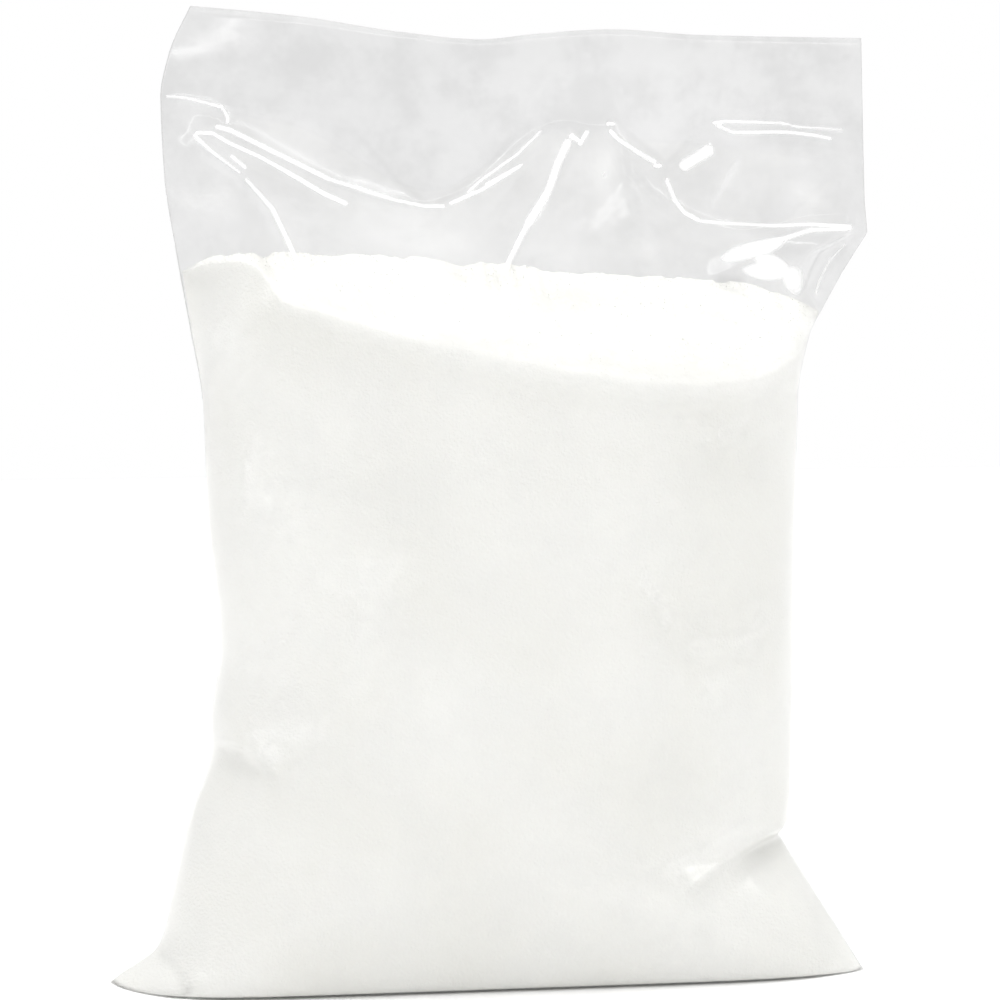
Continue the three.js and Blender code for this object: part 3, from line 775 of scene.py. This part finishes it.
# ---------------------------------------------------------------------------------------
# The bag
# ---------------------------------------------------------------------------------------

film = film_mesh()
film.data.materials.append(film_material())
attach(film, "root")
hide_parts("sealed_bag")

salt, salt_top = salt_mesh()
salt.data.materials.append(salt_material("salt", 0.5, 0.0))
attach(salt, "root")
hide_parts("sealed_bag")

grains = grain_mesh(salt_top)
grains.data.materials.append(salt_material("salt_grain", 0.0, 1.0))
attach(grains, "root")
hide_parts("sealed_bag")

# ---------------------------------------------------------------------------------------
# Floor, light and camera
# ---------------------------------------------------------------------------------------


def floor():
    far, behind = 4000.0, 900.0
    corners = np.array([[-far, -far, 0], [far, -far, 0], [far, behind, 0], [-far, behind, 0]])
    piece = make_piece("floor", corners, [np.array([[0, 1, 2, 3]])], smooth=False)
    material, tree, _ = new_material("pale_floor")
    shader = node(tree, "ShaderNodeBsdfPrincipled", sockets={
        "Base Color": (0.93, 0.93, 0.93, 1), "Roughness": 0.9, "Specular IOR Level": 0.0})
    finish_material(tree, shader)
    piece.data.materials.append(material)


def sky():
    """A white studio that is lit from overhead. It is plain white where it is seen, and paler
    grey than its light where it is mirrored."""
    world = bpy.data.worlds.new("studio")
    bpy.context.scene.world = world
    world.use_nodes = True
    tree = world.node_tree
    tree.nodes.clear()
    direction = node(tree, "ShaderNodeTexCoord", output="Generated")
    up = node(tree, "ShaderNodeSeparateXYZ", sockets={0: direction}, output=2)
    overhead = node(tree, "ShaderNodeMath", {"operation": "MAXIMUM"}, {0: up, 1: 0.0})

    def glow(strength):
        return node(tree, "ShaderNodeBackground", sockets={
            "Color": (1, 1, 1, 1), "Strength": strength})

    seen = node(tree, "ShaderNodeLightPath", output="Is Camera Ray")
    mirrored = node(tree, "ShaderNodeLightPath", output="Is Glossy Ray")
    light = glow(overhead ** 5 * 4.1 + (1 - overhead) ** 4 * 0.25 + 0.2)
    shader = node(tree, "ShaderNodeMixShader", sockets={
        0: mirrored, 1: light, 2: glow(1.0 - overhead * 0.5)})
    shader = node(tree, "ShaderNodeMixShader", sockets={0: seen, 1: shader, 2: glow(1.0)})
    node(tree, "ShaderNodeOutputWorld", sockets={"Surface": shader})


def softbox(name, azimuth, elevation, distance, width, height, radiance):
    """A soft rectangular light aimed at the bag's middle. A rectangle of area A that gives
    radiance L sends out L * A * pi watts."""
    turn, rise = math.radians(azimuth), math.radians(elevation)
    aim = Vector((0, 0, 0.1))
    away = Vector((math.sin(turn) * math.cos(rise), -math.cos(turn) * math.cos(rise), math.sin(rise)))
    lamp = bpy.data.lights.new(name, "AREA")
    lamp.shape, lamp.size, lamp.size_y = "RECTANGLE", width, height
    lamp.energy = radiance * width * height * math.pi
    piece = bpy.data.objects.new(name, lamp)
    piece.location = aim + away * distance
    piece.rotation_euler = away.to_track_quat("Z", "Y").to_euler()
    bpy.context.scene.collection.objects.link(piece)


def camera():
    azimuth, elevation, distance = math.radians(-7), math.radians(7), 0.6
    target = Vector(((3 - BOX_MIDDLE[0]) * MM, (0 - BOX_MIDDLE[1]) * MM, 98 * MM))
    back = Vector((math.sin(azimuth) * math.cos(elevation), -math.cos(azimuth) * math.cos(elevation),
                   math.sin(elevation)))
    lens = bpy.data.cameras.new("camera")
    lens.sensor_width, lens.lens = 36.0, 103.5
    lens.clip_start, lens.clip_end = 0.01, 50
    piece = bpy.data.objects.new("camera", lens)
    piece.location = target + back * distance
    piece.rotation_euler = back.to_track_quat("Z", "Y").to_euler()
    bpy.context.scene.collection.objects.link(piece)
    bpy.context.scene.camera = piece


floor()
sky()
for name, azimuth, elevation, width in [
        ("strip", 0, 38, 1.6), ("strip_left", -55, 36, 1.2), ("strip_right", 55, 36, 1.2)]:
    softbox(name, azimuth, elevation, distance=1.4, width=width, height=0.1, radiance=3.2)
camera()
bpy.context.scene.view_settings.view_transform = "Standard"
